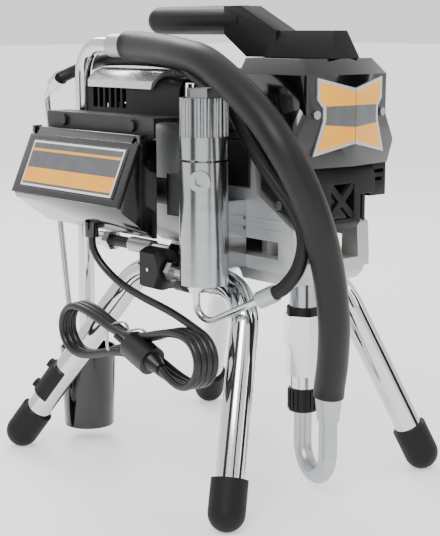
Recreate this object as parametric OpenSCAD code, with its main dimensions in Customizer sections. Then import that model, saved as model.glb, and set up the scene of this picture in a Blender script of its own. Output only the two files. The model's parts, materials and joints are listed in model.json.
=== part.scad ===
// Airless paint sprayer on a four-legged tube frame.
// Lengths in the modules count from the middle of the four feet: +Z up, the badge
// faces -Y, the manifold and control box are on -X. on_base() moves that point so
// that the file's origin is the middle of the machine's outline on the floor.

/* [Frame] */
// Outside diameter of the leg tubes
leg_tube_d = 25; // [23:0.5:26]
// Wall thickness of the leg tubes
leg_wall = 1.5; // [1:0.1:2.5]
// Distance between the left and right foot centres
foot_span_x = 246; // [242:1:250]
// Distance between the front and rear foot centres
foot_span_y = 307; // [303:1:311]
// Diameter of the rubber feet
foot_d = 32; // [30:0.5:34]
// Length of the rubber feet
foot_len = 44; // [36:1:52]

/* [Motor and gears] */
// Outside diameter of the motor
motor_d = 100; // [94:1:104]
// Height of the motor shaft above the floor
shaft_z = 290; // [289:0.5:291]
// Gear module, pitch diameter over tooth count
gear_module = 1; // [0.98:0.01:1]

/* [Pump] */
// Outside diameter of the pump cylinder
pump_d = 26; // [24:0.5:27]
// Diameter of the piston rod
rod_d = 14; // [12:0.5:15]
// Full travel of the piston rod
stroke = 12; // [8:1:12]

/* [Manifold] */
// Diameter of the filter manifold body
manifold_d = 42; // [40:0.5:43]
// Number of flutes round the filter cap
cap_flutes = 24; // [16:1:30]

/* [Control box] */
// Length of the control box along the machine
box_len = 165; // [150:1:168]
// Diameter of the pressure knob
dial_d = 28; // [22:1:32]

/* [Hoses and cord] */
// Outside diameter of the suction hose
suction_hose_d = 27; // [24:0.5:28]
// Diameter of the suction tube
suction_tube_d = 16; // [14:0.5:17]
// Outside diameter of the return hose
return_hose_d = 12; // [10:0.5:12.5]
// Diameter of the return pipe and tube
return_tube_d = 6.5; // [5:0.5:7]
// Diameter of the mains cord
cord_d = 7; // [6:0.5:8]

/* [Handle] */
// Diameter of the handle bar
handle_d = 26; // [22:1:28]
// Height of the handle bar's centre line
handle_z = 417; // [414:1:419]

/* [Hidden] */
$fn = 48;

// Where the middle of the feet lies from the file's origin
base_shift = [2.8, 10.2, 0];

// Frame
foot_r = foot_d / 2;
leg_r = leg_tube_d / 2;
rail_x = 54;
rail_z = 188;
rail_front_y = -103;
rail_rear_y = 47;
rail_bend_r = 45;
plate_z = rail_z + leg_r;
saddle_y = [-20, 8];

// Drive
housing_half = 46;
crank_z = shaft_z - 34;
gear_mid_x = 23.15;
gear_mid_z = shaft_z - 9.3;
pinion_teeth = 10;
wheel_teeth = 40;
small_teeth = 12;
crank_teeth = 56;
running_gap = 0.05;
pump_y = -118;
crank_offset = stroke / 2;

// Manifold
manifold_x = -90;
manifold_y = -87;
manifold_bottom = 195;
outlet_x = -74;
outlet_z = 213;
knob_x = -101;
knob_z = 203;

// Control box
panel_mid = [-129, 45.5, 285];
panel_tilt = -66;
panel_half = 29.5;
box_front = 45.5 - box_len / 2;
box_rear = 45.5 + box_len / 2;

// Suction tube and drip cup stand on one vertical line
tube_x = -56;
tube_y = 133;

// Where the U-shaped elbow comes up to the suction hose
elbow_far = [-16, -165];

// Routes, from one end fitting to the other
suction_route = [[-56, 62, 394], [-56, 50, 394], [-62, 24, 393], [-72, -14, 391],
    [-82, -50, 388], [-89, -88, 382], [-92, -126, 364], [-92, -157, 343], [-90, -180, 319],
    [-80, -193, 290], [-67, -199, 255], [-51, -196, 217], [-36, -189, 172], [-24, -177, 134],
    [-17, -167, 108], [-16, -165, 98]];
return_route = [[-72, -157, 195], [-69, -165, 201], [-63, -174, 217], [-60, -177, 240],
    [-61, -168, 262], [-64, -148, 284], [-65, -128, 304], [-63, -107, 324], [-60, -88, 342],
    [-57, -60, 357], [-52, -30, 369], [-46, -4, 377], [-40, 30, 380], [-40, 70, 381],
    [-40, 115, 380], [-40, 138, 376], [-50, 157, 368], [-60, 166, 362]];
cord_route = [[-110, 48, 222], [-110, 48, 212], [-107, 42, 200], [-102, 22, 184],
    [-100, -10, 174], [-100, -50, 167], [-100, -85, 162], [-104, -112, 156]];

// ---- Helpers -------------------------------------------------------------

function unit(v) = v / norm(v);

module on_base() {
    translate(base_shift) children();
}

// Turns a child that stands along +Z to stand along a direction
module along(direction) {
    rotate([0, acos(direction.z / norm(direction)), atan2(direction.y, direction.x)]) children();
}

// Round bar from one point to another
module bar(a, b, r) {
    translate(a) along(b - a) cylinder(h = norm(b - a), r = r);
}

// Distance from a corner to where its bend starts
function bend_reach(a, corner, b, bend_r) =
    bend_r * tan(acos(unit(corner - a) * unit(b - corner)) / 2);

// Round bend that rounds off the corner between two straight bars
module bend(a, corner, b, r, bend_r) {
    into = unit(corner - a);
    out = unit(b - corner);
    turn = acos(into * out);
    side = unit(out - (out * into) * into);
    centre = corner - into * bend_r * tan(turn / 2) + side * bend_r;
    up = cross(-side, into);
    multmatrix([[-side.x, into.x, up.x, centre.x], [-side.y, into.y, up.y, centre.y],
        [-side.z, into.z, up.z, centre.z], [0, 0, 0, 1]])
        rotate_extrude(angle = turn) translate([bend_r, 0]) circle(r = r);
}

// Round bar along a line of corners, each rounded to the bend radius
module bent_bar(points, r, bend_r) {
    last = len(points) - 1;
    for (i = [0 : last - 1]) {
        a = points[i];
        b = points[i + 1];
        from = i == 0 ? 0 : bend_reach(points[i - 1], a, b, bend_r);
        short = i == last - 1 ? 0 : bend_reach(a, b, points[i + 2], bend_r);
        start = a + unit(b - a) * (i == 0 ? 0 : from - 0.5);
        end = b - unit(b - a) * (i == last - 1 ? 0 : short - 0.5);
        bar(start, end, r);
    }
    for (i = [1 : last - 1]) bend(points[i - 1], points[i], points[i + 1], r + 0.02, bend_r);
}

// Tube: a bent bar with a bent bore, which runs a little past both ends
module bent_tube(points, r, wall, bend_r) {
    last = len(points) - 1;
    before = points[0] - unit(points[1] - points[0]);
    after = points[last] + unit(points[last] - points[last - 1]);
    bore_points = [before, for (i = [1 : last - 1]) points[i], after];
    difference() {
        bent_bar(points, r, bend_r);
        bent_bar(bore_points, r - wall, bend_r);
    }
}

// Point on a smooth curve through four route points, at share t between the middle two
function curve_point(a, b, c, d, t) =
    0.5 * (2 * b + (c - a) * t + (2 * a - 5 * b + 4 * c - d) * t * t
        + (3 * b - a - 3 * c + d) * t * t * t);

function smooth_route(p, steps) = [for (i = [0 : len(p) - 2]) for (k = [0 : steps - 1])
        curve_point(p[max(i - 1, 0)], p[i], p[i + 1], p[min(i + 2, len(p) - 1)], k / steps),
    p[len(p) - 1]];

function tangents(p) = [for (i = [0 : len(p) - 1])
    unit(p[min(i + 1, len(p) - 1)] - p[max(i - 1, 0)])];

function carried_normals(t) = [for (i = 0, n = unit(cross(t[0], [1, 0.2, 0.1])); i < len(t);
    i = i + 1, n = i < len(t) ? unit(n - (n * t[i]) * t[i]) : n) n];

// Hose or cord: a ring of flat sides carried along a smooth curve through the route
module swept(route, r, sides, steps) {
    p = smooth_route(route, steps);
    t = tangents(p);
    n = carried_normals(t);
    rings = [for (i = [0 : len(p) - 1]) for (k = [0 : sides - 1])
        p[i] + r * (cos(360 * k / sides) * n[i] + sin(360 * k / sides) * cross(t[i], n[i]))];
    last = (len(p) - 1) * sides;
    skin = [for (i = [0 : len(p) - 2]) for (k = [0 : sides - 1])
        let (a = i * sides + k, b = i * sides + (k + 1) % sides)
        each [[a, a + sides, b + sides], [a, b + sides, b]]];
    ends = [[for (k = [0 : sides - 1]) k], [for (k = [sides - 1 : -1 : 0]) last + k]];
    polyhedron(points = rings, faces = concat(skin, ends));
}

// Block with its sides rounded along Y, from one corner to the opposite one
module round_block_y(low, high, r) {
    size = high - low;
    translate([low.x, high.y, low.z]) rotate([90, 0, 0]) linear_extrude(size.y)
        rounded_sheet(size.x, size.z, r);
}

module rounded_sheet(w, h, r) {
    translate([r, 0]) square([w - 2 * r, h]);
    translate([0, r]) square([w, h - 2 * r]);
    for (x = [r, w - r]) for (y = [r, h - r]) translate([x, y]) circle(r = r);
}

module hex_prism(across, h) {
    cylinder(h = h, r = across / 2 / cos(30), $fn = 6);
}

// Straight-sided gear on the Y axis; phase is the angle of one tooth from +X towards +Z
module gear(teeth, width, phase, hub_r) {
    pitch_r = teeth * gear_module / 2;
    root_r = pitch_r - 1.15 * gear_module;
    tip_r = pitch_r + 0.8 * gear_module;
    step = 360 / teeth;
    outline = [for (i = [0 : teeth - 1]) let (a = phase + i * step)
        each [[root_r, a - 0.3 * step], [tip_r, a - 0.1 * step],
            [tip_r, a + 0.1 * step], [root_r, a + 0.3 * step]]];
    rotate([90, 0, 0]) linear_extrude(width) difference() {
        polygon([for (q = outline) q[0] * [cos(q[1]), sin(q[1])]]);
        if (hub_r > 0) circle(r = hub_r);
    }
}

// Middle of a foot, for side -1 or 1 and end -1 (front) or 1 (rear)
function foot_at(side, end) = [side * foot_span_x / 2, end * foot_span_y / 2, foot_r - 0.5];
function rail_end(side, end) = [side * rail_x, end < 0 ? rail_front_y : rail_rear_y, rail_z];
function leg_way(side, end) = unit(rail_end(side, end) - foot_at(side, end));

// ---- Frame ---------------------------------------------------------------

module leg_tube(side) {
    front = foot_at(side, -1) + leg_way(side, -1) * 6;
    rear = foot_at(side, 1) + leg_way(side, 1) * 6;
    bent_tube([front, rail_end(side, -1), rail_end(side, 1), rear], leg_r, leg_wall, rail_bend_r);
}

module left_leg_tube() {
    color("silver") on_base() leg_tube(-1);
}

module right_leg_tube() {
    color("silver") on_base() leg_tube(1);
}

module rubber_feet() {
    color([0.09, 0.09, 0.09]) on_base() for (side = [-1, 1]) for (end = [-1, 1]) {
        middle = foot_at(side, end);
        difference() {
            translate(middle) along(leg_way(side, end)) difference() {
                union() {
                    sphere(r = foot_r);
                    cylinder(h = foot_len - foot_r, r = foot_r);
                }
                translate([0, 0, 6]) cylinder(h = foot_len, r = leg_r);
            }
            // Small flat that rests on the floor
            translate([middle.x - 20, middle.y - 20, -10]) cube([40, 40, 10]);
        }
    }
}

// Steel plate across both rails, under the gearbox and motor
module mount_plate() {
    color([0.3, 0.3, 0.32]) on_base() difference() {
        translate([-66, -68, plate_z]) cube([132, 86, 4]);
        for (x = [-33, 33]) for (y = [-50, 0]) translate([x, y, plate_z - 1]) cylinder(h = 6, r = 3);
        for (x = [-62, 62]) for (y = saddle_y) translate([x, y, plate_z - 1]) cylinder(h = 6, r = 3);
    }
}

// Half-round straps that hold the rails up against the plate
module tube_saddles() {
    color([0.25, 0.25, 0.27]) on_base() for (side = [-1, 1]) for (y = saddle_y)
        translate([side * rail_x, y + 7, rail_z]) rotate([90, 0, 0]) linear_extrude(14)
            difference() {
                union() {
                    circle(r = leg_r + 2.5);
                    translate([-leg_r - 2.5, 0]) square([2 * leg_r + 5, leg_r]);
                }
                circle(r = leg_r);
                translate([-leg_r, 0]) square([2 * leg_r, leg_r + 5]);
            }
}

// Hexagon heads of the bolts that hold the plate to the gearbox and to the saddles
module frame_bolts() {
    color("gray") on_base() {
        for (x = [-33, 33]) for (y = [-50, 0]) translate([x, y, plate_z - 4]) {
            hex_prism(10, 4);
            cylinder(h = 8, r = 2.95);
        }
        for (x = [-62, 62]) for (y = saddle_y) translate([x, y, plate_z]) {
            translate([0, 0, 4]) hex_prism(9, 3.5);
            cylinder(h = 5, r = 2.95);
        }
    }
}

// Snap clip on the rear left leg, with three small tabs
module leg_clip() {
    way = leg_way(-1, 1);
    color([0.1, 0.1, 0.1]) on_base() translate(foot_at(-1, 1) + way * 47) along(way)
        difference() {
            union() {
                cylinder(h = 34, r = leg_r + 3);
                for (z = [0, 26]) translate([-leg_r - 6, -4, z]) cube([8, 8, 7]);
            }
            translate([0, 0, -1]) cylinder(h = 36, r = leg_r);
            translate([4, -20, -1]) cube([20, 40, 36]);
        }
}

// ---- Gearbox and motor ---------------------------------------------------

module gearbox_housing() {
    color([0.78, 0.79, 0.8]) on_base() difference() {
        union() {
            rotate([90, 0, 90]) translate([0, 0, -housing_half]) linear_extrude(2 * housing_half)
                polygon([[-19, plate_z + 4], [-74, plate_z + 4], [-80, 193], [-144, 193], [-152, 201],
                    [-152, 217], [-150, 243], [-104, 271], [-100, 312], [-19, 312]]);
            for (side = [-1, 1]) for (z = [238, 247]) translate([side * housing_half - 1.5, -136, z])
                cube([3, 42, 2.5]);
        }
        // Gear chamber, open to the motor flange
        translate([-housing_half + 1.5, -94, 216]) cube([2 * housing_half - 3, 80, 91]);
        // Channel for the yoke, open at the front and at the top
        translate([-32, -160, 213]) cube([64, 59, 110]);
        // Side windows beside the rod
        for (side = [-1, 1]) translate([side * 39 - 10, -132, 216]) cube([20, 46, 15]);
        // Seat of the pump cylinder
        translate([0, pump_y, 190]) cylinder(h = 30, r = pump_d / 2);
        // Bearing of the crank shaft
        translate([0, -90, crank_z]) rotate([90, 0, 0]) cylinder(h = 20, r = 9 + running_gap);
        // Bearing of the intermediate shaft
        translate([gear_mid_x, -90, gear_mid_z]) rotate([90, 0, 0])
            cylinder(h = 6, r = 4 + running_gap);
        for (x = [-33, 33]) translate([x, -50, plate_z + 3]) cylinder(h = 6, r = 3);
        // Room for the rails at the lower edges
        for (side = [-1, 1]) translate([side * 45 - 6, -160, 190]) cube([12, 95, 14.6]);
    }
}

// Casting between the gearbox and the motor, which carries the front motor bearing
module motor_flange() {
    color([0.82, 0.83, 0.84]) on_base() difference() {
        union() {
            round_block_y([-60, -19, 216], [60, 19, 331], 16);
            translate([-40, -19, plate_z + 4]) cube([80, 38, 20]);
        }
        translate([0, 20, shaft_z - 14]) rotate([90, 0, 0]) cylinder(h = 30, r = 46);
        translate([0, 20, shaft_z]) rotate([90, 0, 0]) cylinder(h = 60, r = 6 + running_gap);
        translate([gear_mid_x, -13, gear_mid_z]) rotate([90, 0, 0])
            cylinder(h = 10, r = 4 + running_gap);
        for (x = [-33, 33]) translate([x, 0, plate_z + 3]) cylinder(h = 6, r = 3);
    }
}

// Motor can with cooling ribs and a closed rear end
module motor_body() {
    mid_z = shaft_z;
    color([0.35, 0.36, 0.38]) on_base() translate([0, 118, mid_z]) rotate([90, 0, 0])
        difference() {
            union() {
                cylinder(h = 99, r = motor_d / 2);
                for (i = [0 : 23]) rotate(i * 15) translate([motor_d / 2 - 1, -1, 4])
                    cube([4, 2, 90]);
            }
            translate([0, 0, 14]) cylinder(h = 90, r = motor_d / 2 - 4);
            translate([0, 0, -1]) cylinder(h = 20, r = 6 + running_gap);
            translate([0, 0, -1]) cylinder(h = 11, r = motor_d / 2 - 4);
        }
}

// Armature on its shaft, with the pinion cut into the shaft's front end
module rotor() {
    pinion_phase = atan2(gear_mid_z - shaft_z, gear_mid_x);
    color([0.7, 0.45, 0.25]) on_base() translate([0, 0, shaft_z]) {
        translate([0, 118, 0]) rotate([90, 0, 0]) cylinder(h = 154, r = 6);
        translate([0, -36, 0]) gear(pinion_teeth, 16, pinion_phase, 0);
        translate([0, 98, 0]) rotate([90, 0, 0]) cylinder(h = 68, r = 40);
    }
}

module motor_fan() {
    color([0.12, 0.12, 0.12]) on_base() translate([0, 0, shaft_z]) {
        difference() {
            union() {
                translate([0, 116.5, 0]) rotate([90, 0, 0]) cylinder(h = 8, r = 14);
                for (i = [0 : 8]) rotate([0, i * 40, 0]) translate([10, 109, -1]) cube([32, 7, 2]);
            }
            translate([0, 120, 0]) rotate([90, 0, 0]) cylinder(h = 16, r = 6);
        }
    }
}

// Wheel driven by the pinion, and the small gear beside it on the same shaft
module intermediate_gear() {
    to_rotor = atan2(shaft_z - gear_mid_z, -gear_mid_x);
    to_crank = atan2(crank_z - gear_mid_z, -gear_mid_x);
    color([0.6, 0.6, 0.62]) on_base() translate([gear_mid_x, 0, gear_mid_z]) {
        translate([0, -39, 0])
            gear(wheel_teeth, 10, to_rotor + 180 / wheel_teeth, 0);
        translate([0, -49, 0]) gear(small_teeth, 21, to_crank, 0);
        translate([0, -14, 0]) rotate([90, 0, 0]) cylinder(h = 81, r = 4);
    }
}

// Output wheel, its shaft, the crank disc and the crank pin
module crank_gear() {
    to_middle = atan2(gear_mid_z - crank_z, gear_mid_x);
    color([0.55, 0.55, 0.58]) on_base() translate([0, 0, crank_z]) {
        translate([0, -56, 0]) gear(crank_teeth, 13, to_middle + 180 / crank_teeth, 0);
        translate([0, -54, 0]) rotate([90, 0, 0]) cylinder(h = 52, r = 9);
        translate([0, -105, 0]) rotate([90, 0, 0]) cylinder(h = 5, r = 13);
        translate([crank_offset, -109, 0]) rotate([90, 0, 0]) cylinder(h = 15, r = 4.5);
    }
}

// Slotted frame that the crank pin moves up and down
module yoke() {
    slot_h = 9 + 2 * stroke + 2;
    slot_w = 9 + stroke + 2;
    color([0.5, 0.5, 0.53]) on_base() translate([0, pump_y, crank_z]) difference() {
        translate([-slot_w / 2 - 5, -6, -slot_h / 2 - 5]) cube([slot_w + 10, 11, slot_h + 10]);
        translate([-slot_w / 2, -8, -slot_h / 2]) cube([slot_w, 16, slot_h]);
    }
}

module piston_rod() {
    top_z = crank_z - (9 + 2 * stroke + 2) / 2 - 5;
    color("silver") on_base() translate([0, pump_y, 0]) {
        translate([0, 0, 140]) cylinder(h = top_z - 140, r = rod_d / 2);
        translate([0, 0, 124]) cylinder(h = 16, r = 5);
        translate([0, 0, 123]) cylinder(h = 3, r = 8);
    }
}

module piston_seal() {
    color([0.9, 0.9, 0.86]) on_base() translate([0, pump_y, 126]) difference() {
        cylinder(h = 14, r = 9);
        translate([0, 0, -1]) cylinder(h = 16, r = 5);
    }
}

module pump_cylinder() {
    color([0.7, 0.71, 0.72]) on_base() translate([0, pump_y, 150]) difference() {
        cylinder(h = 64, r = pump_d / 2);
        translate([0, 0, -1]) cylinder(h = 50, r = 9 + running_gap);
        translate([0, 0, 40]) cylinder(h = 30, r = rod_d / 2 + running_gap);
    }
}

module packing_nut() {
    color([0.8, 0.72, 0.5]) on_base() translate([0, pump_y, 214]) difference() {
        hex_prism(30, 8);
        translate([0, 0, -1]) cylinder(h = 12, r = rod_d / 2 + running_gap);
    }
}

module jam_ring() {
    color([0.12, 0.12, 0.12]) on_base() translate([0, pump_y, 161]) difference() {
        cylinder(h = 7, r = 15.5);
        translate([0, 0, -1]) cylinder(h = 9, r = pump_d / 2);
        for (i = [0 : 5]) rotate(i * 60) translate([15.5, 0, -1]) cylinder(h = 9, r = 1.6);
    }
}

// Two hexagon steps and a threaded neck, with the ball chamber inside
module foot_valve() {
    color([0.86, 0.87, 0.88]) on_base() translate([0, pump_y, 0]) difference() {
        union() {
            translate([0, 0, 132]) hex_prism(32, 29);
            translate([0, 0, 106]) hex_prism(28, 26);
            translate([0, 0, 94]) cylinder(h = 12, r = 12);
            translate([0, 0, 79]) cylinder(h = 16, r = 9.5);
        }
        translate([0, 0, 150]) cylinder(h = 20, r = pump_d / 2);
        translate([0, 0, 116]) cylinder(h = 40, r = 9 + running_gap);
        translate([0, 0, 100]) cylinder(h = 20, r = 7.5);
        translate([0, 0, 70]) cylinder(h = 40, r = 5);
    }
}

module inlet_ball() {
    color("silver") on_base() translate([0, pump_y, 103.6]) sphere(r = 6);
}

// Knurled ring that holds the suction elbow to the pump
module swivel_nut() {
    color([0.1, 0.1, 0.1]) on_base() translate([0, pump_y, 73]) difference() {
        union() {
            cylinder(h = 21, r = 13);
            for (i = [0 : 17]) rotate(i * 20) translate([12.4, -1, 2]) cube([1.6, 2, 17]);
        }
        translate([0, 0, 6]) cylinder(h = 20, r = 9.5);
        translate([0, 0, -1]) cylinder(h = 20, r = suction_tube_d / 2);
    }
}

// U-shaped tube from the pump inlet up to the suction hose
module u_bar(near, half, r, near_top, far_top) {
    turn = atan2(elbow_far.y - near.y, elbow_far.x - near.x);
    translate([near.x, near.y, 45]) rotate(turn) {
        cylinder(h = near_top - 45, r = r);
        translate([2 * half, 0, 0]) cylinder(h = far_top - 45, r = r);
        translate([half, 0, 0.5]) rotate([-90, 0, 0]) rotate_extrude(angle = 180)
            translate([half, 0]) circle(r = r + 0.02);
    }
}

module suction_elbow() {
    near = [0, pump_y];
    half = norm(elbow_far - near) / 2;
    color([0.8, 0.81, 0.82]) on_base() {
        difference() {
            u_bar(near, half, suction_tube_d / 2, 79, 86);
            u_bar(near, half, suction_tube_d / 2 - 1.2, 80, 87);
        }
    }
}

// Sleeves pressed on the ends of the hoses
module crimp_ferrules() {
    color([0.72, 0.73, 0.74]) on_base() {
        difference() {
            union() {
                translate([elbow_far.x, elbow_far.y, 76]) cylinder(h = 22, r1 = 9.5, r2 = 12);
            }
            translate([elbow_far.x, elbow_far.y, 70]) cylinder(h = 16, r = suction_tube_d / 2);
            translate([elbow_far.x, elbow_far.y, 80]) cylinder(h = 20, r = 6.5);
        }
        translate([tube_x, 84, 394]) rotate([90, 0, 0]) difference() {
            cylinder(h = 22, r = 11);
            translate([0, 0, -1]) cylinder(h = 5, r = suction_tube_d / 2);
            cylinder(h = 24, r = 6.5);
        }
        start = return_route[0];
        way = unit([16, -68, 36]);
        difference() {
            bar(start - way * 18, start, 7.5);
            bar(start - way * 19, start - way * 9, return_tube_d / 2);
        }
        translate([outlet_x, 34, outlet_z]) rotate([90, 0, 0]) difference() {
            cylinder(h = 32, r = 7);
            translate([0, 0, -1]) cylinder(h = 34, r = 5.3);
        }
    }
}

module suction_hose() {
    color([0.08, 0.08, 0.08]) on_base() swept(suction_route, suction_hose_d / 2, 20, 3);
}

// Vertical tube with a gooseneck at the top
module suction_tube() {
    color([0.85, 0.86, 0.87]) on_base()
        bent_tube([[tube_x, tube_y, 30], [tube_x, tube_y, 394], [tube_x, 81, 394]],
            suction_tube_d / 2, 1.2, 30);
}

module inlet_strainer() {
    color([0.75, 0.75, 0.76]) on_base() translate([tube_x, tube_y, 0]) difference() {
        translate([0, 0, 22]) cylinder(h = 16, r = 14);
        translate([0, 0, 30]) cylinder(h = 10, r = suction_tube_d / 2);
        translate([0, 0, 21]) cylinder(h = 10, r = 11);
    }
}

// Tapered cup that catches drips from the suction tube
module drip_cup() {
    color([0.06, 0.06, 0.06]) on_base() translate([tube_x, tube_y, 15]) difference() {
        cylinder(h = 80, r1 = 25, r2 = 28);
        translate([0, 0, 2.5]) cylinder(h = 80, r1 = 23, r2 = 26);
    }
}

// ---- Manifold ------------------------------------------------------------

module manifold_body() {
    color([0.84, 0.85, 0.86]) on_base() difference() {
        union() {
            translate([manifold_x, manifold_y, manifold_bottom]) cylinder(h = 105, r = manifold_d / 2);
            // Block against the gearbox
            translate([manifold_x + 8, -92, 206]) cube([-housing_half - manifold_x - 8, 48, 58]);
            translate([manifold_x + 8, -92, 206]) cube([12, 48, 90]);
            // Boss of the pressure sensor
            translate([-94, -68, 250]) cube([24, 26, 36]);
        }
        translate([manifold_x, manifold_y, 206]) cylinder(h = 120, r = 14);
        translate([outlet_x, -43, outlet_z]) rotate([90, 0, 0]) cylinder(h = 20, r = 5.3);
        translate([-81, -41, 268]) rotate([90, 0, 0]) cylinder(h = 20, r = 5);
        translate([knob_x, -60, knob_z]) rotate([90, 0, 0]) cylinder(h = 20, r = 5);
        along_plug() cylinder(h = 10, r = 6);
    }
}

// Places a child on the manifold's skin where the port plug sits
module along_plug() {
    translate([manifold_x, manifold_y, 285]) rotate([0, 90, 221])
        translate([0, 0, manifold_d / 2 - 4]) children();
}

module filter_element() {
    color([0.85, 0.8, 0.6]) on_base() translate([manifold_x, manifold_y, 206]) difference() {
        cylinder(h = 88, r = 9);
        translate([0, 0, 4]) cylinder(h = 90, r = 6);
    }
}

// Smooth ring under the cap, which rises with it
module cap_collar() {
    color([0.8, 0.81, 0.82]) on_base() translate([manifold_x, manifold_y, 302]) difference() {
        cylinder(h = 19, r = manifold_d / 2);
        translate([0, 0, -1]) cylinder(h = 21, r = 14);
    }
}

// Fluted cap with a hexagon boss
module filter_cap() {
    cap_r = 20.5;
    color([0.8, 0.81, 0.82]) on_base() translate([manifold_x, manifold_y, 321]) {
        difference() {
            cylinder(h = 32, r = cap_r);
            for (i = [0 : cap_flutes - 1]) rotate(i * 360 / cap_flutes) translate([cap_r + 0.6, 0, -1])
                cylinder(h = 35, r = 1.9);
        }
        translate([0, 0, 31]) hex_prism(26, 9);
        translate([0, 0, -26]) cylinder(h = 26, r = 13.95);
    }
}

// Screw plug with a hexagon socket, low on the manifold's near side
module port_plug() {
    color([0.75, 0.76, 0.77]) on_base() along_plug() difference() {
        union() {
            cylinder(h = 6, r = 6);
            translate([0, 0, 3.6]) cylinder(h = 4.5, r = 9);
        }
        translate([0, 0, 3]) hex_prism(8, 8);
    }
}

module pressure_sensor() {
    color([0.07, 0.07, 0.07]) on_base() {
        translate([-81, -8, 268]) rotate([90, 0, 0]) cylinder(h = 34, r = 11.5);
        translate([-81, -41, 268]) rotate([90, 0, 0]) cylinder(h = 16, r = 5);
    }
}

// Steel body of the prime valve behind the manifold, whose stem carries the knob
module prime_valve() {
    color([0.8, 0.81, 0.82]) on_base() {
        translate([knob_x, -58, knob_z]) rotate([90, 0, 0]) cylinder(h = 18, r = 5);
        translate([knob_x, -56, knob_z]) rotate([90, 0, 0]) hex_prism(16, 6);
        translate([knob_x, -33, knob_z]) rotate([90, 0, 0]) cylinder(h = 24, r = 4);
    }
}

// Round knob with one side cut flat
module prime_knob() {
    color([0.07, 0.07, 0.07]) on_base() difference() {
        union() {
            translate([knob_x, -26, knob_z]) rotate([90, 0, 0]) cylinder(h = 20, r = 18.5);
            translate([knob_x, -46, knob_z]) rotate([90, 0, 0]) cylinder(h = 6, r1 = 18.5, r2 = 10);
        }
        translate([knob_x, -32.5, knob_z]) rotate([90, 0, 0]) cylinder(h = 30, r = 4 + running_gap);
        translate([knob_x - 31.5, -53, knob_z - 30]) cube([20, 40, 60]);
        translate([knob_x - 14, -38, knob_z]) rotate([0, 90, 0]) cylinder(h = 30, r = 1.5);
    }
}

module knob_pin() {
    color("silver") on_base() translate([knob_x - 12.5, -38, knob_z]) rotate([0, 90, 0])
        cylinder(h = 8, r = 1.5);
}

// ---- Return line and outlet ----------------------------------------------

// Pipe from under the manifold to the return hose, with its union nut
module return_pipe() {
    start = [manifold_x, -77, manifold_bottom];
    finish = return_route[0] - unit([16, -68, 36]) * 9;
    color([0.87, 0.88, 0.89]) on_base() {
        bent_bar([start, [manifold_x, -77, 154], finish], return_tube_d / 2, 14);
        translate(start + [0, 0, -9]) hex_prism(12, 9);
    }
}

module return_hose() {
    color([0.08, 0.08, 0.08]) on_base() swept(return_route, return_hose_d / 2, 12, 3);
}

// Thin tube that takes the returned paint down into the drip cup
module return_tube() {
    start = return_route[len(return_route) - 1];
    color([0.7, 0.71, 0.72]) on_base() {
        way = unit([1, 24, -16]);
        bent_bar([start + way * 6, start + way * 32, [-60, 150, 70]], return_tube_d / 2, 12);
        bar(start, start + way * 14, 7.5);
    }
}

// Short high-pressure hose from the manifold's outlet
module outlet_whip() {
    color([0.08, 0.08, 0.08]) on_base() translate([outlet_x, 62, outlet_z]) rotate([90, 0, 0])
        cylinder(h = 44, r = 5.3);
}

// Steel nipples at both ends of the outlet hose; the free one takes the spray hose
module outlet_fitting() {
    color([0.75, 0.76, 0.77]) on_base() translate([outlet_x, 0, outlet_z]) {
        translate([0, 10, 0]) rotate([90, 0, 0]) cylinder(h = 68, r = 5.3);
        translate([0, -28, 0]) rotate([90, 0, 0]) hex_prism(17, 14);
        translate([0, 70, 0]) rotate([90, 0, 0]) hex_prism(17, 8);
        translate([0, 84, 0]) rotate([90, 0, 0]) cylinder(h = 14, r = 6.6);
    }
}

// ---- Covers --------------------------------------------------------------

// Black casing over the gearbox, stepped in above it
module gear_cover() {
    color([0.07, 0.07, 0.07]) on_base() {
        difference() {
            union() {
                translate([-48.5, -98, 275]) cube([97, 78, 40]);
                translate([-38, -83, 314]) cube([76, 61, 60]);
                for (z = [322, 337]) translate([-40, -80, z]) cube([80, 50, 3]);
            }
            translate([-46.5, -99, 270]) cube([93, 90, 42.5]);
            translate([-36, -81, 300]) cube([72, 57, 71]);
        }
    }
}

// Shell round the motor with a vent window in each side and a grille at the rear
module motor_shroud() {
    color([0.08, 0.08, 0.08]) on_base() difference() {
        union() {
            difference() {
                round_block_y([-58, -16, 233], [58, 124, 366], 14);
                round_block_y([-55.5, -20, 235.5], [55.5, 121, 363.5], 12);
                for (side = [-1, 1]) translate([side * 58 - 6, 62, 336]) cube([12, 52, 21]);
            }
            for (side = [-1, 1]) for (y = [68 : 9 : 110])
                translate([side * 56.5 - 1.5, y, 335]) cube([3, 3, 19.5]);
        }
        // Room for the motor flange
        translate([-61, -21, 214]) cube([122, 40.2, 118]);
        for (x = [-36 : 12 : 36]) translate([x - 3, 110, 262]) cube([6, 20, 76]);
    }
}

// Silver roof strip with slanted front ends, bent down at both sides
module roof_band() {
    color([0.85, 0.86, 0.87]) on_base() difference() {
        translate([0, 118, 0]) rotate([90, 0, 0]) linear_extrude(108)
            polygon([[-61.5, 355], [-61.5, 362], [-53, 370], [-44, 373], [44, 373], [53, 370],
                [61.5, 362], [61.5, 355]]);
        round_block_y([-58.3, 0, 233], [58.3, 130, 366.3], 13.5);
        rotate([90, 0, 90]) translate([0, 0, -70]) linear_extrude(140)
            polygon([[0, 340], [26, 340], [12, 380], [0, 380]]);
    }
}

// Plan of the front cover: flat at the back, with a crease down the middle of its face
module cover_plan(half, nose) {
    polygon([[0, nose], [half, nose + 8], [half + 2, nose + 14], [half, -84], [-half, -84],
        [-half - 2, nose + 14], [-half, nose + 8]]);
}

// Slice of the flare at the foot of the cover's face
module flare_plan(half, nose) {
    polygon([[0, nose], [half - 6, nose + (half - 6) / 6], [half, nose + half / 6 + 5], [46, -138],
        [-46, -138], [-half, nose + half / 6 + 5], [-half + 6, nose + (half - 6) / 6]]);
}

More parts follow.
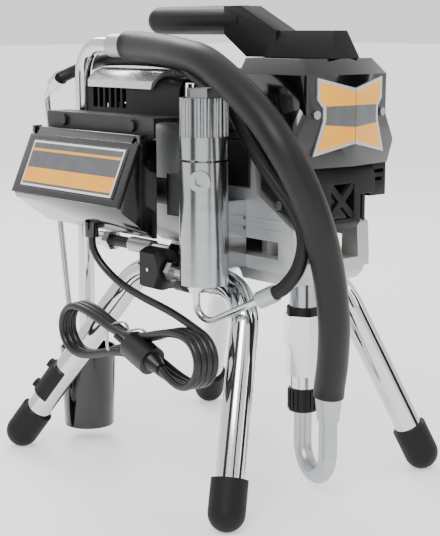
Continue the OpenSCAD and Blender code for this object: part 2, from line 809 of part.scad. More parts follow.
module front_cover() {
    color([0.07, 0.07, 0.07]) on_base() difference() {
        union() {
            hull() {
                translate([0, 0, 296]) linear_extrude(76) cover_plan(48, -174);
                translate([0, 0, 384]) linear_extrude(1) cover_plan(40, -164);
            }
            hull() {
                translate([0, 0, 314]) linear_extrude(2) flare_plan(66, -174);
                translate([0, 0, 344]) linear_extrude(1) flare_plan(50, -174);
            }
            hull() {
                translate([0, 0, 314]) linear_extrude(2) flare_plan(66, -174);
                translate([0, 0, 296]) linear_extrude(1) flare_plan(58, -174);
            }
        }
        hull() {
            translate([0, 0, 290]) linear_extrude(80) offset_plan();
            translate([0, 0, 380]) linear_extrude(1) scale([0.85, 0.95]) offset_plan();
        }
        translate([-60, -106, 289.5]) cube([120, 40, 25.5]);
    }
}

// Inside of the front cover in plan
module offset_plan() {
    polygon([[0, -170], [44, -163], [45, -158], [45, -80], [-45, -80], [-45, -158], [-44, -163]]);
}

// One half of the badge: outline from the crease outwards, on the face's own slope
module badge_half(side, thick) {
    slope = atan2(1, 6);
    mirror([side < 0 ? 1 : 0, 0, 0]) translate([0, -174, 0]) rotate([0, 0, slope])
        translate([0, -thick, 0]) rotate([-90, 0, 0]) mirror([0, 1, 0]) linear_extrude(thick)
            polygon([[0, 361], [39, 370], [39, 352], [33, 345], [33, 335], [43, 306],
                [0, 315]]);
}

module badge_plate() {
    color([0.95, 0.68, 0.12]) on_base() for (side = [-1, 1]) badge_half(side, 2);
}

// Black guard in front of the piston rod, with a crossed grille in its face
module pump_guard() {
    color([0.07, 0.07, 0.07]) on_base() difference() {
        union() {
            difference() {
                rotate([90, 0, 90]) translate([0, 0, -40]) linear_extrude(80)
                    polygon([[-152, 244.5], [-104, 273.5], [-104, 294], [-160, 294], [-163, 285],
                        [-163, 246], [-158, 240], [-152, 240]]);
                translate([-36, -158, 230]) cube([72, 60, 70]);
                translate([-14, -170, 250]) cube([28, 20, 30]);
            }
            for (turn = [-45, 45]) translate([0, -159, 265]) rotate([0, turn, 0])
                translate([-21, -3, -3]) cube([42, 5, 6]);
        }
        translate([-50, -170, 220]) cube([28, 18, 50]);
        translate([22, -170, 220]) cube([28, 18, 50]);
    }
}

// Slotted block under the right of the front cover
module vent_block() {
    color([0.08, 0.08, 0.08]) on_base() difference() {
        translate([41, -156, 266]) cube([20, 42, 30]);
        translate([44, -160, 286]) cube([14, 12, 3]);
        translate([46, -160, 279]) cube([10, 12, 3]);
    }
}

// Carrying handle: a base on the cover, a sloping arm and a bar with a free round end
module handle() {
    color([0.08, 0.08, 0.08]) on_base() {
        translate([0, 0, handle_z]) {
            translate([0, 80, 0]) rotate([90, 0, 0]) cylinder(h = 122, r = handle_d / 2);
            translate([0, 80, 0]) sphere(r = handle_d / 2);
        }
        rotate([90, 0, 90]) translate([0, 0, -12]) linear_extrude(24)
            polygon([[-24, handle_z + 12.5], [-47, handle_z + 12.5], [-92, 408], [-92, 385],
                [-54, 385], [-24, handle_z - 12.5]]);
        hull() {
            translate([-17, -163, 385]) cube([34, 80, 1]);
            translate([-8, -157, 407]) cube([16, 66, 1]);
        }
    }
}

// Round-headed screws: two in the cover's face, two in the handle's base
module cover_screws() {
    color([0.2, 0.2, 0.2]) on_base() {
        for (side = [-1, 1]) translate([side * 39, -174 + 39 / 6, 340])
            rotate([0, 0, side * atan2(1, 6)]) rotate([90, 0, 0]) cylinder(h = 3, r = 3.5);
        for (side = [-1, 1]) translate([side * 40, -130, 262]) rotate([0, side * 90, 0]) {
            cylinder(h = 4, r = 4);
        }
    }
}

// ---- Control box ---------------------------------------------------------

// Places a child on the slanted panel: its X runs up the panel, its Z points outwards
module on_panel() {
    translate(panel_mid) rotate([0, panel_tilt, 0]) children();
}

// Angle plate that carries the control box on the motor flange
module control_bracket() {
    color([0.16, 0.16, 0.17]) on_base() {
        difference() {
            union() {
                translate([-104, box_front, 316]) cube([2.5, box_len - 4, 17.5]);
                translate([-104, box_front, 331]) cube([45, box_len - 4, 2.5]);
            }
            translate([-80, 24, 330]) cube([30, box_len, 5]);
        }
        for (y = [-8, 96]) translate([-104, y, 326]) rotate([0, -90, 0]) hex_prism(9, 3);
    }
}

// Case of the control box, open where the lid lies, with the operating panel inside it
module control_case() {
    color([0.07, 0.07, 0.07]) on_base() difference() {
        union() {
            translate([0, box_rear, 0]) rotate([90, 0, 0]) linear_extrude(box_len)
                polygon([[-101, 315], [-110, 315], [-117, 312], [-141, 258], [-139, 254],
                    [-104, 229], [-101, 229]]);
            // Ears of the lid's hinge
            for (y = [box_front, box_rear - 4]) translate([-119, y, 311]) cube([8, 4, 9]);
            // Cord gland
            translate([-110, 48, 221.9]) cylinder(h = 14, r = 6.5);
        }
        // Hollow behind the operating panel
        translate([0, box_rear - 3, 0]) rotate([90, 0, 0]) linear_extrude(box_len - 6)
            polygon([[-103.5, 309], [-103.5, 234], [-122, 247], [-110, 300], [-106, 309]]);
        // Recess under the lid
        on_panel() translate([-23, -box_len / 2 + 5, -8]) cube([46, box_len - 10, 20]);
        // Space over the closed lid
        on_panel() translate([-60, -box_len, 0]) cube([panel_half + 60, 2 * box_len, 30]);
        translate([-110, 48, 218]) cylinder(h = 30, r = cord_d / 2);
        translate([-115.5, box_front - 1, 317.5]) rotate([-90, 0, 0])
            cylinder(h = box_len + 2, r = 1.5 + running_gap);
        on_panel() translate([-8, -30, -25]) cylinder(h = 25, r = 4 + running_gap);
        on_panel() translate([-9, 24, -25]) cube([18, 26, 25]);
        on_panel() translate([-12, 37, -12]) rotate([0, 90, 0]) cylinder(h = 24, r = 1.2 + running_gap);
    }
}

// Lid with its hinge trunnions along the top edge
module control_lid() {
    color([0.1, 0.1, 0.1]) on_base() {
        on_panel() translate([-panel_half, -box_len / 2, 0.4]) cube([2 * panel_half - 1, box_len, 3.5]);
        on_panel() translate([-panel_half + 6, -box_len / 2 + 9, 3.9])
            cube([2 * panel_half - 12, box_len - 18, 0.8]);
        hull() {
            translate([-115.5, box_front + 10, 317.5]) rotate([-90, 0, 0])
                cylinder(h = box_len - 20, r = 1.9, $fn = 32);
            on_panel() translate([panel_half - 4, -box_len / 2 + 10, 2]) cube([2, box_len - 20, 1.9]);
        }
        translate([-115.5, box_front + 3.5, 317.5]) rotate([-90, 0, 0])
            cylinder(h = box_len - 7, r = 1.5);
    }
}

module pressure_dial() {
    color([0.1, 0.1, 0.1]) on_base() on_panel() translate([-8, -30, 0]) {
        difference() {
            translate([0, 0, -7.7]) cylinder(h = 6.5, r = dial_d / 2);
            for (i = [0 : 11]) rotate(i * 30) translate([dial_d / 2 + 0.8, 0, -9])
                cylinder(h = 9, r = 1.8);
        }
        translate([0, 0, -14]) cylinder(h = 6.5, r = 4);
    }
}

module power_rocker() {
    color([0.7, 0.1, 0.08]) on_base() on_panel() translate([0, 37, -12]) rotate([8, 0, 0]) {
        translate([-7, -11, -2]) cube([14, 22, 9]);
        translate([-11, 0, 0]) rotate([0, 90, 0]) cylinder(h = 22, r = 1.2);
    }
}

// ---- Mains cord ----------------------------------------------------------

module mains_cord() {
    color([0.08, 0.08, 0.08]) on_base() swept(cord_route, cord_d / 2, 8, 3);
}

// Outer shape of the tied hank: two round-ended loops that hang between the legs
module cord_hank() {
    color([0.09, 0.09, 0.09]) on_base() translate([-101, 0, 0]) rotate([90, 0, -90])
        linear_extrude(21) hank_outline();
}

module hank_outline() {
    translate([-60, 134]) circle(r = 27);
    translate([85, 134]) circle(r = 27);
    translate([109, 134]) circle(r = 27);
    translate([84, 107.5]) square([26, 53]);
    polygon([[-66, 112], [-66, 156], [11, 150], [92, 158], [92, 110], [11, 125]]);
}

// Round two-pin plug, lying on the hank
module mains_plug() {
    color([0.09, 0.09, 0.09]) on_base() translate([-126, -60, 127]) rotate([-70, 0, 0]) {
        cylinder(h = 30, r = 13);
        translate([0, 0, -12]) cylinder(h = 12, r1 = 5, r2 = 9);
        for (x = [-6, 6]) translate([x, 0, 29]) cylinder(h = 18, r = 2.4);
    }
}

left_leg_tube();
right_leg_tube();
rubber_feet();
mount_plate();
tube_saddles();
frame_bolts();
leg_clip();
gearbox_housing();
motor_flange();
motor_body();
rotor();
motor_fan();
intermediate_gear();
crank_gear();
yoke();
piston_rod();
piston_seal();
pump_cylinder();
packing_nut();
jam_ring();
foot_valve();
inlet_ball();
swivel_nut();
suction_elbow();
crimp_ferrules();
suction_hose();
suction_tube();
inlet_strainer();
drip_cup();
manifold_body();
filter_element();
cap_collar();
filter_cap();
port_plug();
pressure_sensor();
prime_valve();
prime_knob();
knob_pin();
return_pipe();
return_hose();
return_tube();
outlet_whip();
outlet_fitting();
gear_cover();
motor_shroud();
roof_band();
front_cover();
badge_plate();
pump_guard();
vent_block();
handle();
cover_screws();
control_bracket();
control_case();
control_lid();
pressure_dial();
power_rocker();
mains_cord();
cord_hank();
mains_plug();
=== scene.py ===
import json
import math

import bmesh
import bpy
import numpy as np
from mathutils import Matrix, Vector


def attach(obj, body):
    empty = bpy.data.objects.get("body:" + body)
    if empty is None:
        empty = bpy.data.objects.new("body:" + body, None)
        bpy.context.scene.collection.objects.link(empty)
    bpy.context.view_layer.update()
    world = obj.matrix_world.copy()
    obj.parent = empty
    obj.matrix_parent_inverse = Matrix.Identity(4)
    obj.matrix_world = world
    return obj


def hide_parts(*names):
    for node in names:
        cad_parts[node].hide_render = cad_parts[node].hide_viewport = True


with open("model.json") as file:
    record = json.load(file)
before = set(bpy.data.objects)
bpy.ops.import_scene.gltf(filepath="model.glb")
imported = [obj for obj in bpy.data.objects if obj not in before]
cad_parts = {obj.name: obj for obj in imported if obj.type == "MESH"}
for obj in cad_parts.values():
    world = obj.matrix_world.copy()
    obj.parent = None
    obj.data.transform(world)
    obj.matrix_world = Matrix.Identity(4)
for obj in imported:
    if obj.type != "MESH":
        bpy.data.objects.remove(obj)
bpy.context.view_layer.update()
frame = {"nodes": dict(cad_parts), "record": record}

scene = bpy.context.scene
mm = 0.001
base = np.array([2.8, 10.2, 0.0])  # middle of the feet from the frame's origin, mm


def place(points):
    """Point in metres = (point in mm + middle of the feet) / 1000."""
    return (np.array(points, float) + base) * mm


def linear(hexColour):
    """Each sRGB channel c becomes ((c + 0.055) / 1.055) ^ 2.4, or c / 12.92 when dark."""
    out = []
    for i in (0, 2, 4):
        c = int(hexColour[i:i + 2], 16) / 255
        out.append(c / 12.92 if c <= 0.04045 else ((c + 0.055) / 1.055) ** 2.4)
    return (*out, 1.0)


# camera, in the same frame as the object
view = dict(yaw=41.26, pitch=10.43, spot=(-811.7, -930.2, 408.6), lens=88.7, shift=0.0088)
cameraData = bpy.data.cameras.new("view")
camera = bpy.data.objects.new("view", cameraData)
scene.collection.objects.link(camera)
scene.camera = camera
camera.location = place(view["spot"])
yaw, pitch = math.radians(view["yaw"]), math.radians(view["pitch"])
forward = Vector((math.sin(yaw) * math.cos(pitch), math.cos(yaw) * math.cos(pitch),
                  -math.sin(pitch)))
camera.rotation_mode = "QUATERNION"
camera.rotation_quaternion = forward.to_track_quat("-Z", "Y")
cameraData.lens = view["lens"]
cameraData.shift_y = view["shift"]
cameraData.clip_start, cameraData.clip_end = 0.05, 50
print("camera done")


# mesh helpers
def smoothRoute(points, steps):
    """Catmull-Rom curve: half of (2b + (c-a)t + (2a-5b+4c-d)t^2 + (3b-a-3c+d)t^3)."""
    p = np.array(points, float)
    out = []
    for i in range(len(p) - 1):
        a, b, c, d = p[max(i - 1, 0)], p[i], p[i + 1], p[min(i + 2, len(p) - 1)]
        for k in range(steps):
            t = k / steps
            out.append(0.5 * (2 * b + (c - a) * t + (2 * a - 5 * b + 4 * c - d) * t * t
                              + (3 * b - a - 3 * c + d) * t ** 3))
    out.append(p[-1])
    return np.array(out)


def even(points, step):
    """The same line cut into equal steps by distance along it."""
    lengths = np.r_[0, np.cumsum(np.linalg.norm(np.diff(points, axis=0), axis=1))]
    count = max(int(lengths[-1] / step), 2)
    at = np.linspace(0, lengths[-1], count + 1)
    return np.stack([np.interp(at, lengths, points[:, k]) for k in range(3)], 1)


def build(name, verts, faces, smooth=True):
    """Object at the origin whose mesh holds the points in metres."""
    mesh = bpy.data.meshes.new(name)
    mesh.from_pydata([tuple(v) for v in verts], [], [tuple(int(i) for i in f) for f in faces])
    mesh.update()
    if smooth:
        mesh.polygons.foreach_set("use_smooth", [True] * len(mesh.polygons))
        mesh.set_sharp_from_angle(angle=math.radians(35))
    obj = bpy.data.objects.new(name, mesh)
    scene.collection.objects.link(obj)
    return obj


def ringFaces(rings, sides, closed=False):
    """Quads between each ring and the next, turned outwards, with flat ends if open."""
    faces = []
    for i in range(rings if closed else rings - 1):
        a, b = i * sides, ((i + 1) % rings) * sides
        for k in range(sides):
            n = (k + 1) % sides
            faces.append((a + k, a + n, b + n, b + k))
    if not closed:
        faces.append(tuple(range(sides - 1, -1, -1)))
        faces.append(tuple(range((rings - 1) * sides, rings * sides)))
    return faces


def tube(name, path, radius, sides=16):
    """Ring point = path point + r (cos a * side + sin a * up), carried without twist."""
    p = np.array(path, float)
    t = np.gradient(p, axis=0)
    t /= np.linalg.norm(t, axis=1)[:, None]
    n = np.cross(t[0], (0.31, 0.2, 0.93))
    rings = []
    r = np.broadcast_to(np.asarray(radius, float), (len(p),))
    for i in range(len(p)):
        n = n - (n @ t[i]) * t[i]
        n /= np.linalg.norm(n)
        b = np.cross(t[i], n)
        a = np.arange(sides) * 2 * math.pi / sides
        rings.append(p[i] + r[i] * (np.outer(np.cos(a), n) + np.outer(np.sin(a), b)))
    return build(name, np.concatenate(rings), ringFaces(len(p), sides))


# materials
def addNode(tree, kind, settings=None, inputs=None):
    """One shader node with its settings; an input is a value or another node's socket."""
    node = tree.nodes.new(kind)
    for key, value in (settings or {}).items():
        setattr(node, key, value)
    for key, value in (inputs or {}).items():
        if isinstance(value, bpy.types.NodeSocket):
            tree.links.new(value, node.inputs[key])
        else:
            node.inputs[key].default_value = value
    return node


def surface(name, look):
    """Base colour drifts between two tones, roughness and bump follow fine noise."""
    mat = bpy.data.materials.new(name)
    mat.use_nodes = True
    tree = mat.node_tree
    shader = tree.nodes["Principled BSDF"]
    spot = addNode(tree, "ShaderNodeTexCoord").outputs["Object"]
    stretch = look.get("stretch", (1, 1, 1))
    spot = addNode(tree, "ShaderNodeMapping", {}, {"Vector": spot, "Scale": stretch}).outputs[0]
    broad = addNode(tree, "ShaderNodeTexNoise", {}, {
        "Vector": spot, "Scale": 1000 / look.get("broad", 60), "Detail": 3.0})
    fine = addNode(tree, "ShaderNodeTexNoise", {}, {
        "Vector": spot, "Scale": 1000 / look.get("grain", 1.2), "Detail": 4.0})
    tone = addNode(tree, "ShaderNodeMix", {"data_type": "RGBA"}, {
        "Factor": broad.outputs["Fac"], "A": linear(look["tones"][0]),
        "B": linear(look["tones"][1])})
    tree.links.new(tone.outputs["Result"], shader.inputs["Base Color"])
    low, high = look["rough"]
    rough = addNode(tree, "ShaderNodeMapRange", {}, {
        "Value": fine.outputs["Fac"], "From Min": 0.3, "From Max": 0.7,
        "To Min": low, "To Max": high})
    tree.links.new(rough.outputs[0], shader.inputs["Roughness"])
    bump = addNode(tree, "ShaderNodeBump", {}, {
        "Height": fine.outputs["Fac"], "Distance": look.get("depth", 0.03) * mm,
        "Strength": look.get("bump", 0.4)})
    tree.links.new(bump.outputs[0], shader.inputs["Normal"])
    shader.inputs["Metallic"].default_value = look.get("metal", 0.0)
    if not look.get("metal"):
        shader.inputs["Specular IOR Level"].default_value = look.get("specular", 0.5)
    shader.inputs["Coat Weight"].default_value = look.get("coat", 0.0)
    shader.inputs["Coat Roughness"].default_value = 0.08
    return mat


looks = {
    "chromePlatedSteel": dict(tones=("c9cbcd", "dcdee0"), rough=(0.06, 0.12), metal=1.0,
                              broad=40, grain=2.5, bump=0.04),
    "mouldedRubberFoot": dict(tones=("050505", "0c0c0c"), specular=0.3, rough=(0.5, 0.72),
                              grain=0.6, bump=0.5),
    "extrudedHoseRubber": dict(tones=("070708", "0f1011"), specular=0.35, rough=(0.38, 0.55),
                               grain=0.9, bump=0.5, broad=25),
    "mattePlasticFineTexture": dict(tones=("060607", "0c0c0d"), specular=0.3, rough=(0.42, 0.6),
                                    grain=0.5, bump=0.45),
    "glossPlasticMoulded": dict(tones=("030304", "060607"), specular=0.4, rough=(0.1, 0.17),
                                coat=0.6, grain=3.0, bump=0.05),
    "castAluminiumBlasted": dict(tones=("b4b6b8", "cbcdce"), rough=(0.4, 0.58), metal=0.75,
                                 grain=0.9, depth=0.08, bump=0.5),
    "satinTurnedSteel": dict(tones=("8f9193", "b0b2b4"), rough=(0.14, 0.26), metal=1.0, grain=1.0,
                             bump=0.12, stretch=(1, 1, 9)),
    "satinAluminiumFerrule": dict(tones=("a2a5a8", "bfc2c4"), rough=(0.32, 0.45), metal=0.85,
                                  grain=0.8, bump=0.2),
    "machinedGearSteel": dict(tones=("77797b", "929496"), rough=(0.3, 0.45), metal=1.0),
    "blackCoatedSheet": dict(tones=("101112", "191a1b"), rough=(0.35, 0.5), grain=0.7),
    "turnedBrass": dict(tones=("a67c32", "c49a4a"), rough=(0.22, 0.34), metal=1.0),
    "whiteSealPolymer": dict(tones=("cfcbbf", "dedacf"), rough=(0.4, 0.5)),
    "wovenSteelMesh": dict(tones=("6f7072", "9c9d9f"), rough=(0.3, 0.5), metal=1.0, grain=0.8,
                           depth=0.2, bump=0.8),
    "lacqueredWinding": dict(tones=("5b2a12", "8a4a22"), rough=(0.25, 0.4), grain=0.9),
    # silver band on the motor roof: light silver tone painted in as the reflection of the lights
    # on the glossy black roof
    "paintedReflectionSilverBand": dict(tones=("c2c4c6", "d3d5d6"), rough=(0.22, 0.32), metal=0.7, coat=0.3),
    "redSwitchPlastic": dict(tones=("7d0c08", "960f0a"), rough=(0.15, 0.25), coat=0.3),
    "cordSheathVinyl": dict(tones=("0a0a0b", "141415"), rough=(0.3, 0.42), grain=0.8, bump=0.25,
                            broad=20),
    "printedSilverEdge": dict(tones=("b9bbbd", "cfd1d2"), rough=(0.2, 0.3), metal=0.8),
    "printedAmberInk": dict(tones=("e49200", "ffb400"), rough=(0.25, 0.36), coat=0.5, broad=30),
    "printedGreyInk": dict(tones=("3f4143", "5d6062"), rough=(0.3, 0.4), coat=0.4, broad=12),
    "printedWhiteInk": dict(tones=("d9dadb", "e6e7e8"), rough=(0.3, 0.4), coat=0.3),
    "cableTieNylon": dict(tones=("a9aaab", "c4c5c6"), rough=(0.35, 0.5), grain=0.9),
}
mats = {name: surface(name, look) for name, look in looks.items()}
bySlot = {
    "chrome": "chromePlatedSteel", "rubber": "mouldedRubberFoot", "hose": "extrudedHoseRubber",
    "black_plastic": "mattePlasticFineTexture", "gloss_black": "glossPlasticMoulded",
    "cast_aluminium": "castAluminiumBlasted", "satin_steel": "satinTurnedSteel",
    "ferrule": "satinAluminiumFerrule", "gear_steel": "machinedGearSteel",
    "dark_steel": "blackCoatedSheet", "brass": "turnedBrass", "seal": "whiteSealPolymer",
    "mesh": "wovenSteelMesh", "copper": "lacqueredWinding", "badge": "printedSilverEdge",
    # silver_band takes the painted reflection: silver standing in for the lights mirrored in the
    # glossy black roof
    "rocker": "redSwitchPlastic", "silver_band": "paintedReflectionSilverBand", "cord": "cordSheathVinyl",
}
for part in frame["record"]["subparts"]:
    obj = frame["nodes"][part["node"]]
    mat = mats[bySlot[part["material_slot"]]]
    if not obj.material_slots:
        obj.data.materials.append(mat)
    for slotEntry in obj.material_slots:
        slotEntry.link = "OBJECT"
        slotEntry.material = mat
print("node materials done")


def roundedCopy(node, width, body="machine"):
    """The node's own shape with each edge sharper than 30 degrees cut to a small round."""
    source = frame["nodes"][node]
    work = bmesh.new()
    work.from_mesh(source.data)
    bmesh.ops.remove_doubles(work, verts=work.verts, dist=0.00002)
    bmesh.ops.dissolve_limit(work, angle_limit=math.radians(1.5), verts=work.verts,
                             edges=work.edges)
    mesh = bpy.data.meshes.new(node)
    work.to_mesh(mesh)
    work.free()
    mesh.materials.clear()
    mesh.polygons.foreach_set("use_smooth", [True] * len(mesh.polygons))
    name = "".join([node.split("_")[0], *[w.capitalize() for w in node.split("_")[1:]]])
    obj = bpy.data.objects.new(name, mesh)
    scene.collection.objects.link(obj)
    bevel = obj.modifiers.new("edges", "BEVEL")
    bevel.width, bevel.segments, bevel.limit_method = width * mm, 3, "ANGLE"
    bevel.angle_limit, bevel.harden_normals = math.radians(28), True
    slotName = [p["material_slot"] for p in frame["record"]["subparts"] if p["node"] == node][0]
    mesh.materials.append(mats[bySlot[slotName]])
    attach(obj, body)
    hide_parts(node)
    return obj


for node, width, body in (("front_cover", 1.6, "machine"), ("gear_cover", 1.2, "machine"),
                          ("handle", 1.5, "machine"), ("control_case", 0.8, "machine"),
                          ("control_lid", 0.7, "control_lid"), ("vent_block", 0.8, "machine"),
                          ("pump_guard", 0.8, "machine"), ("motor_flange", 1.2, "machine"),
                          ("gearbox_housing", 0.9, "machine"), ("roof_band", 0.5, "machine")):
    roundedCopy(node, width, body)
print("rounded pieces done")


def finishPiece(obj, matName, body="machine"):
    """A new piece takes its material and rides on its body."""
    obj.data.materials.append(mats[matName])
    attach(obj, body)
    return obj


# mains cord: the run to the hank, then three turns side by side, then the plug
cordSet = dict(radius=3.5, turns=3, left=60.0, right=-97.0, mid=134.0, loop=23.7, waist=4.5,
               firstX=-105.5, pitch=6.2, shrink=0.3, perTurn=64,
               lastX=-124.4, lastShift=1.2, lastLoop=23.3, lastSteps=10, step=3.0)  # mm
run = smoothRoute([(-110, 48, 222), (-110, 48, 212), (-107, 42, 200), (-102, 22, 184),
                   (-100, -10, 174), (-100, -50, 167), (-102, -75, 162)], 8)


def hankTurns(c):
    """Turn k lies in its own plane; each end is a half circle, the sides dip to the waist."""
    pts = []
    for k in range(c["turns"]):
        x0 = c["firstX"] - c["pitch"] * k
        r = c["loop"] - c["shrink"] * k
        for i in range(c["perTurn"]):
            u = i / c["perTurn"]
            x = x0 - c["pitch"] * u
            if u < 0.25:
                a = math.pi / 2 - math.pi * u / 0.25
                y, z = c["right"] - r * math.cos(a), c["mid"] + r * math.sin(a)
            elif u < 0.5:
                s = (u - 0.25) / 0.25
                dip = (r - c["waist"] - 2 * k) * math.sin(math.pi * s) ** 2
                y, z = c["right"] + (c["left"] - c["right"]) * s, c["mid"] - r + dip
            elif u < 0.75:
                a = -math.pi / 2 + math.pi * (u - 0.5) / 0.25
                y, z = c["left"] + r * math.cos(a), c["mid"] + r * math.sin(a)
            else:
                s = (u - 0.75) / 0.25
                dip = (r - c["waist"] - 2 * k) * math.sin(math.pi * s) ** 2
                y, z = c["left"] + (c["right"] - c["left"]) * s, c["mid"] + r - dip
            pts.append((x, y, z))
    return pts


turns = np.array(hankTurns(cordSet))
lastBend = []  # half circle at the right end, on the way to the plug
for k in range(cordSet["lastSteps"] + 1):
    a = math.pi / 2 - math.pi * k / cordSet["lastSteps"]
    lastBend.append((cordSet["lastX"] - cordSet["lastShift"] * k / cordSet["lastSteps"],
                     cordSet["right"] - cordSet["lastLoop"] * math.cos(a),
                     cordSet["mid"] + cordSet["lastLoop"] * math.sin(a)))
tail = smoothRoute([lastBend[-1], (-125.8, -84, 115), (-126, -71.3, 122.9)], 5)
soft = even(np.concatenate([run, turns[3:], lastBend[1:-1], tail]), cordSet["step"])
for k in range(3):  # each pass takes the mean of five points, so joins round off
    inner = sum(np.roll(soft, shift, axis=0) for shift in (-2, -1, 0, 1, 2)) / 5
    inner[:3], inner[-3:] = soft[:3], soft[-3:]
    soft = inner
soft = even(smoothRoute(soft[::3].tolist() + [soft[-1].tolist()], 3), cordSet["step"])
cordPath = place(soft)
cordPiece = tube("mainsCord", cordPath, cordSet["radius"] * mm, 12)
finishPiece(cordPiece, "cordSheathVinyl")
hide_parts("mains_cord", "cord_hank")

# smooth hoses along the same routes as the CAD's
hoses = dict(
    suctionHose=("suction_hose", 13.5, [
        (-56, 62, 394), (-56, 50, 394), (-62, 24, 393), (-72, -14, 391), (-82, -50, 388),
        (-89, -88, 382), (-92, -126, 364), (-92, -157, 343), (-90, -180, 319), (-80, -193, 290),
        (-67, -199, 255), (-51, -196, 217), (-36, -189, 172), (-24, -177, 134),
        (-17, -167, 108), (-16, -165, 98)]),
    returnHose=("return_hose", 6.0, [
        (-72, -157, 195), (-69, -165, 201), (-63, -174, 217), (-60, -177, 240), (-61, -168, 262),
        (-64, -148, 284), (-65, -128, 304), (-63, -107, 324), (-60, -88, 342), (-57, -60, 357),
        (-52, -30, 369), (-46, -4, 377), (-40, 30, 380), (-40, 70, 381), (-40, 115, 380),
        (-40, 138, 376), (-50, 157, 368), (-60, 166, 362)]),
)
for name, (node, radius, route) in hoses.items():
    hose = tube(name, place(even(smoothRoute(route, 10), 4.0)), radius * mm, 32)
    finishPiece(hose, "extrudedHoseRubber")
    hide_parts(node)
print("hoses done")


def sheetPiece(name, outline, corner, across, up, thick, matName, body="machine"):
    """Plate point = corner + u * across + v * up, with a thickness along their cross."""
    across, up = np.array(across, float), np.array(up, float)
    out = np.cross(across, up)
    flat = [np.array(corner, float) + u * across + v * up for u, v in outline]
    n = len(flat)
    verts = place([*flat, *[p + out * thick for p in flat]])
    faces = [tuple(range(n - 1, -1, -1)), tuple(range(n, 2 * n))]
    faces += [(i, (i + 1) % n, n + (i + 1) % n, n + i) for i in range(n)]
    return finishPiece(build(name, verts, faces, smooth=False), matName, body)


# badge: amber field and grey band on each half of the silver plate
slope = math.atan2(8, 48)
for side, word in ((-1, "Left"), (1, "Right")):
    across = (side * math.cos(slope), math.sin(slope), 0)
    corner = (0, -176, 0)
    field = [(0.4, 317.8), (39, 309.5), (30.2, 334.5), (30.2, 345.5), (36.4, 353.2), (36.4, 366.6),
             (0.4, 358.2)]
    band = [(0.4, 329), (31.4, 331.5), (30.2, 334.5), (30.2, 345.5), (31, 346.6), (0.4, 347)]
    for label, outline, thick, matName in (("Field", field, 0.25, "printedAmberInk"),
                                           ("Band", band, 0.4, "printedGreyInk")):
        shape = outline if side > 0 else outline[::-1]  # keeps the faces outwards
        sheetPiece("badge" + label + word, shape, corner, across, (0, 0, 1), thick * side,
                   matName)
print("badge done")

# printed plate on the lid
tilt = math.radians(66)
upWay = (math.cos(tilt), 0, math.sin(tilt))
outWay = np.array((-math.sin(tilt), 0, math.cos(tilt)))
middle = np.array((-129, 45.5, 285)) + outWay * 4.7
plate = dict(
    lidBorder=((-70, 70, -22, 22), 0.15, "printedWhiteInk"),
    lidField=((-68, 68, -20, 20), 0.3, "printedGreyInk"),
    lidTopStripe=((-68, 68, 12, 14.5), 0.45, "printedAmberInk"),
    lidAmberBand=((-68, 68, -18, -4), 0.45, "printedAmberInk"),
)
for name, ((left, right, low, high), thick, matName) in plate.items():
    sheetPiece(name, [(-right, low), (-left, low), (-left, high), (-right, high)], middle,
               (0, -1, 0), upWay, thick, matName, "control_lid")
print("label done")


# cable ties: flat nylon loops, with no head or loose tail
def tie(name, centre, halfY, halfZ, halfX, thick):
    """Band about a rounded loop x = a cos^0.6, z = b sin^0.6, square in section."""
    a = np.linspace(0, 2 * math.pi, 41)[:-1]
    ring = np.stack([centre[0] + halfX * np.sign(np.cos(a)) * np.abs(np.cos(a)) ** 0.6,
                     centre[1] + 0 * a,
                     centre[2] + halfZ * np.sign(np.sin(a)) * np.abs(np.sin(a)) ** 0.6], 1)
    outward = ring - np.array(centre, float)
    outward /= np.linalg.norm(outward, axis=1)[:, None]
    verts, near, far = [], (0, -halfY, 0), (0, halfY, 0)
    for p, o in zip(ring, outward * thick):
        verts += [p + near, p + far, p + o + far, p + o + near]
    faces = ringFaces(len(ring), 4, closed=True)
    return finishPiece(build(name, place(verts), faces), "cableTieNylon")


ties = dict(
    tieWaist=dict(centre=(-112, -18, 134), halfY=1.8, halfZ=11.5, halfX=11.5, thick=1.1),
    tieLeft=dict(centre=(-112, 8, 134), halfY=1.8, halfZ=13.5, halfX=11.5, thick=1.1),
)
for name, settings in ties.items():
    tie(name, **settings)
print("ties done")

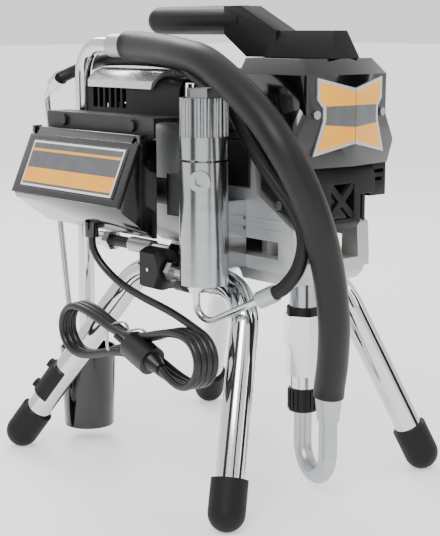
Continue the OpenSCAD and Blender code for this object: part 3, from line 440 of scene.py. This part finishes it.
# floor and light
stage = dict(half=30, floorGlow=0.55, worldGlow=1.25)  # m, then strengths
floorMesh = bpy.data.meshes.new("floor")
floorMesh.from_pydata([(x * stage["half"], y * stage["half"], -0.0002) for x, y in
                       ((-1, -1), (1, -1), (1, 1), (-1, 1))], [], [(0, 1, 2, 3)])
floor = bpy.data.objects.new("floor", floorMesh)
scene.collection.objects.link(floor)
floor.data.materials.append(surface("paleStudioFloor", dict(
    tones=("eeeeee", "f2f2f2"), rough=(0.6, 0.7), broad=400, bump=0.0)))
floorShader = floor.data.materials[0].node_tree.nodes["Principled BSDF"]
floorShader.inputs["Emission Color"].default_value = (1, 1, 1, 1)
floorShader.inputs["Emission Strength"].default_value = stage["floorGlow"]

world = bpy.data.worlds.new("studio")
scene.world = world
world.use_nodes = True
world.node_tree.nodes["Background"].inputs["Color"].default_value = (1, 1, 1, 1)
world.node_tree.nodes["Background"].inputs["Strength"].default_value = stage["worldGlow"]


def areaLight(name, spot, target, size, power):
    """Square soft light that looks at its target."""
    data = bpy.data.lights.new(name, "AREA")
    data.size, data.energy = size, power
    lamp = bpy.data.objects.new(name, data)
    lamp.location = spot
    lamp.rotation_euler = (Vector(target) - Vector(spot)).to_track_quat("-Z", "Y").to_euler()
    scene.collection.objects.link(lamp)


def darkCard(name, low, high):
    """Upright dark sheet outside the view, which the chrome reflects as a dark streak."""
    (x0, y0, z0), (x1, y1, z1) = low, high
    card = build(name, [(x0, y0, z0), (x1, y1, z0), (x1, y1, z1), (x0, y0, z1)], [(0, 1, 2, 3)],
                 smooth=False)
    card.data.materials.append(mats["mouldedRubberFoot"])
    card.visible_camera = False  # darkens reflections only


cards = dict(
    cardLeft=((-1.6, -0.35, 0.0), (-1.35, 0.25, 1.3)),
    cardRight=((0.75, -1.5, 0.0), (1.3, -1.05, 1.3)),
    cardCamera=((-0.75, -1.75, 0.0), (-0.35, -1.9, 1.3)),
)
for name, (low, high) in cards.items():
    darkCard(name, low, high)
lights = dict(
    keyLight=dict(spot=(-1.4, -0.9, 1.7), target=(0, 0, 0.2), size=0.9, power=30),
    fillLight=dict(spot=(1.2, -1.5, 1.0), target=(0, 0, 0.25), size=1.2, power=12),
    rimLight=dict(spot=(0.6, 1.5, 1.6), target=(0, 0, 0.3), size=0.8, power=22),
)
for name, settings in lights.items():
    areaLight(name, **settings)
print("stage done")
